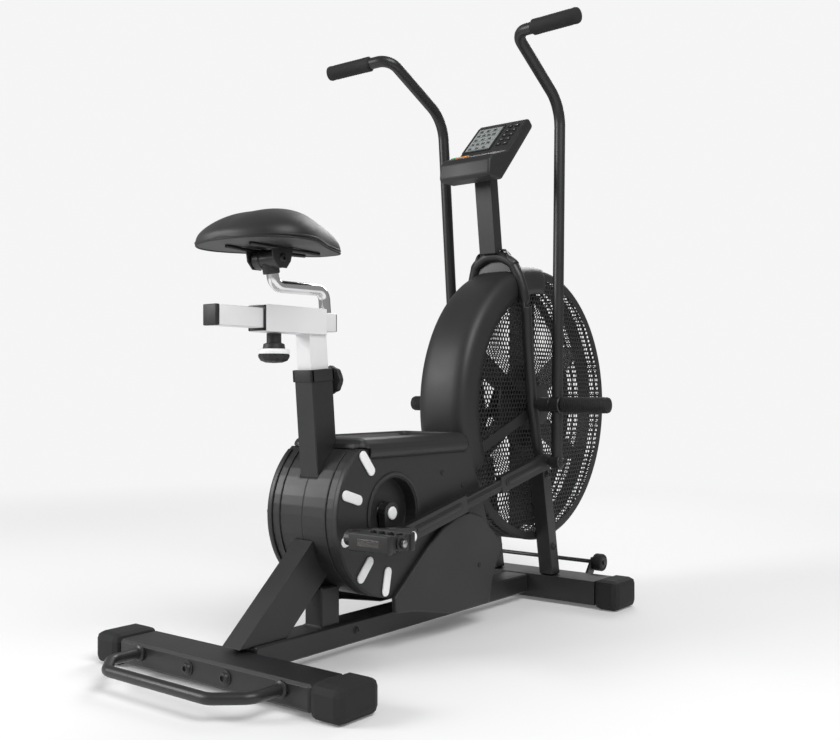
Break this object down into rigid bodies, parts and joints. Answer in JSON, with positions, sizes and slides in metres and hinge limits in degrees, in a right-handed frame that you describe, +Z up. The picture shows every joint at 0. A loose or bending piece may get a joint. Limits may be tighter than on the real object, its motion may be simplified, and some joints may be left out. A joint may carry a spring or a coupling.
{
  "type": "air bike",
  "caption": "Fan-resistance exercise bike with swinging arm levers, double-throw cranks, caged fan, adjustable saddle and small console.",
  "frame": {"origin": "centre of the footprint box, on the floor", "axes": "+Z up, +Y towards the fan at the front, +X to the rider's right"},
  "size_m": [0.6092, 1.3929, 1.2699],
  "materials": {
    "black_paint": "satin black powder coat",
    "black_plastic": "matte black",
    "rubber": "matte black rubber",
    "perforated_steel": "satin black, perforated",
    "silver_steel": "silver-grey paint",
    "chrome": "polished",
    "saddle_vinyl": "matte black vinyl",
    "screen": "grey display",
    "orange": "orange rubber key",
    "red": "red key",
    "green": "green key",
    "belt_rubber": "ribbed belt",
    "raw_steel": "bare steel",
    "white_plastic": "white inserts"
  },
  "bodies": {
    "frame": {"rear_stabiliser": "black_paint", "front_stabiliser": "black_paint", "base_beam": "black_paint", "lift_handle": "black_paint", "rear_leg": "black_paint", "seat_tube": "black_paint", "fork_bar_left": "black_paint", "fork_bar_right": "black_paint", "front_column_right": "black_paint", "front_column_left": "black_paint", "hoop_tube": "black_paint", "console_mast": "black_paint", "right_drive_cover": "black_plastic", "left_drive_cover": "black_plastic", "right_belt_cover": "black_plastic", "left_belt_cover": "black_plastic", "tray_cover": "black_plastic", "fan_shroud": "black_plastic", "console_body": "black_plastic", "rear_cap_right": "rubber", "rear_cap_left": "rubber", "front_cap_right": "rubber", "front_cap_left": "rubber", "foot_peg_right": "rubber", "foot_peg_left": "rubber", "cage_panel_left": "perforated_steel", "cage_panel_right": "perforated_steel", "cage_rim": "perforated_steel", "console_screen": "screen", "first_belt": "belt_rubber", "second_belt": "belt_rubber", "fan_axle": "raw_steel", "slot_inserts_left": "white_plastic", "slot_inserts_right": "white_plastic"},
    "crankset": {"crank_axle": "raw_steel", "crank_pulley": "raw_steel", "crank_arm_right": "black_paint", "crank_arm_left": "black_paint"},
    "pedal_r": {"pedal_right": "black_plastic"},
    "pedal_l": {"pedal_left": "black_plastic"},
    "rod_r": {"rod_right": "black_paint"},
    "rod_l": {"rod_left": "black_paint"},
    "lever_r": {"lever_right": "black_paint", "grip_right": "rubber"},
    "lever_l": {"lever_left": "black_paint", "grip_left": "rubber"},
    "jackshaft": {"jack_shaft": "raw_steel"},
    "fan": {"fan_wheel": "black_paint"},
    "seatpost": {"seat_post": "silver_steel"},
    "seatknob": {"seat_knob": "black_plastic"},
    "slider": {"slider_bar": "silver_steel", "saddle_post": "chrome", "saddle_clamp": "black_paint"},
    "sliderknob": {"slider_knob": "black_plastic"},
    "saddle_top": {"saddle": "saddle_vinyl"},
    "wheel_r": {"transport_wheel_right": "rubber"},
    "wheel_l": {"transport_wheel_left": "rubber"},
    "start_key": {"start_button": "orange"},
    "stop_key": {"stop_button": "red"},
    "mode_key": {"mode_button": "green"}
  },
  "joints": [
    {"name": "crank_spin", "type": "hinge", "parent": "frame", "child": "crankset", "pos_m": [0, -0.20185, 0.263], "axis": [1, 0, 0], "continuous": true},
    {"name": "pedal_right_spin", "type": "hinge", "parent": "crankset", "child": "pedal_r", "pos_m": [0.195, -0.36623, 0.2399], "axis": [1, 0, 0], "continuous": true},
    {"name": "pedal_left_spin", "type": "hinge", "parent": "crankset", "child": "pedal_l", "pos_m": [-0.195, -0.03747, 0.2861], "axis": [1, 0, 0], "continuous": true},
    {"name": "rod_right_pivot", "type": "hinge", "parent": "crankset", "child": "rod_r", "pos_m": [0.11, -0.203, 0.22302], "axis": [1, 0, 0], "continuous": true},
    {"name": "rod_left_pivot", "type": "hinge", "parent": "crankset", "child": "rod_l", "pos_m": [-0.11, -0.2007, 0.30298], "axis": [1, 0, 0], "continuous": true},
    {"name": "jack_spin", "type": "hinge", "parent": "frame", "child": "jackshaft", "pos_m": [0, 0.01115, 0.15], "axis": [1, 0, 0], "continuous": true},
    {"name": "fan_spin", "type": "hinge", "parent": "frame", "child": "fan", "pos_m": [0, 0.38115, 0.46], "axis": [1, 0, 0], "continuous": true},
    {"name": "lever_right_swing", "type": "hinge", "parent": "frame", "child": "lever_r", "pos_m": [0.14, 0.31615, 0.462], "axis": [1, 0, 0], "range_deg": [-15, 21]},
    {"name": "lever_left_swing", "type": "hinge", "parent": "frame", "child": "lever_l", "pos_m": [-0.14, 0.31615, 0.462], "axis": [1, 0, 0], "range_deg": [-21, 15]},
    {"name": "seat_height", "type": "slide", "parent": "frame", "child": "seatpost", "axis": [0, -0.0837, 0.9965], "range_m": [-0.04, 0.08]},
    {"name": "saddle_fore_aft", "type": "slide", "parent": "seatpost", "child": "slider", "axis": [0, 1, 0], "range_m": [-0.006, 0.07]},
    {"name": "saddle_tilt", "type": "hinge", "parent": "slider", "child": "saddle_top", "pos_m": [0, -0.44085, 0.7265], "axis": [1, 0, 0], "range_deg": [-10, 10]},
    {"name": "seat_knob_pull", "type": "slide", "parent": "frame", "child": "seatknob", "axis": [0, 1, 0], "range_m": [0, 0.01], "stiffness_N_per_m": 800},
    {"name": "slider_knob_turn", "type": "hinge", "parent": "seatpost", "child": "sliderknob", "pos_m": [0, -0.42955, 0.57], "axis": [0, 0, 1], "range_deg": [-180, 180]},
    {"name": "wheel_right_spin", "type": "hinge", "parent": "frame", "child": "wheel_r", "pos_m": [0.151, 0.49715, 0.083], "axis": [1, 0, 0], "continuous": true},
    {"name": "wheel_left_spin", "type": "hinge", "parent": "frame", "child": "wheel_l", "pos_m": [-0.151, 0.49715, 0.083], "axis": [1, 0, 0], "continuous": true},
    {"name": "start_press", "type": "slide", "parent": "frame", "child": "start_key", "axis": [0, 0.3019, -0.9533], "range_m": [0, 0.0012], "stiffness_N_per_m": 300},
    {"name": "stop_press", "type": "slide", "parent": "frame", "child": "stop_key", "axis": [0, 0.3019, -0.9533], "range_m": [0, 0.0012], "stiffness_N_per_m": 300},
    {"name": "mode_press", "type": "slide", "parent": "frame", "child": "mode_key", "axis": [0, 0.3019, -0.9533], "range_m": [0, 0.0012], "stiffness_N_per_m": 300}
  ],
  "couplings": [
    {"joint": "rod_right_pivot", "follows": "crank_spin", "ratio": -1},
    {"joint": "rod_left_pivot", "follows": "crank_spin", "ratio": -1},
    {"joint": "jack_spin", "follows": "crank_spin", "ratio": 3.7333},
    {"joint": "fan_spin", "follows": "crank_spin", "ratio": 6.4711},
    {"joint": "lever_left_swing", "follows": "lever_right_swing", "ratio": -1}
  ]
}
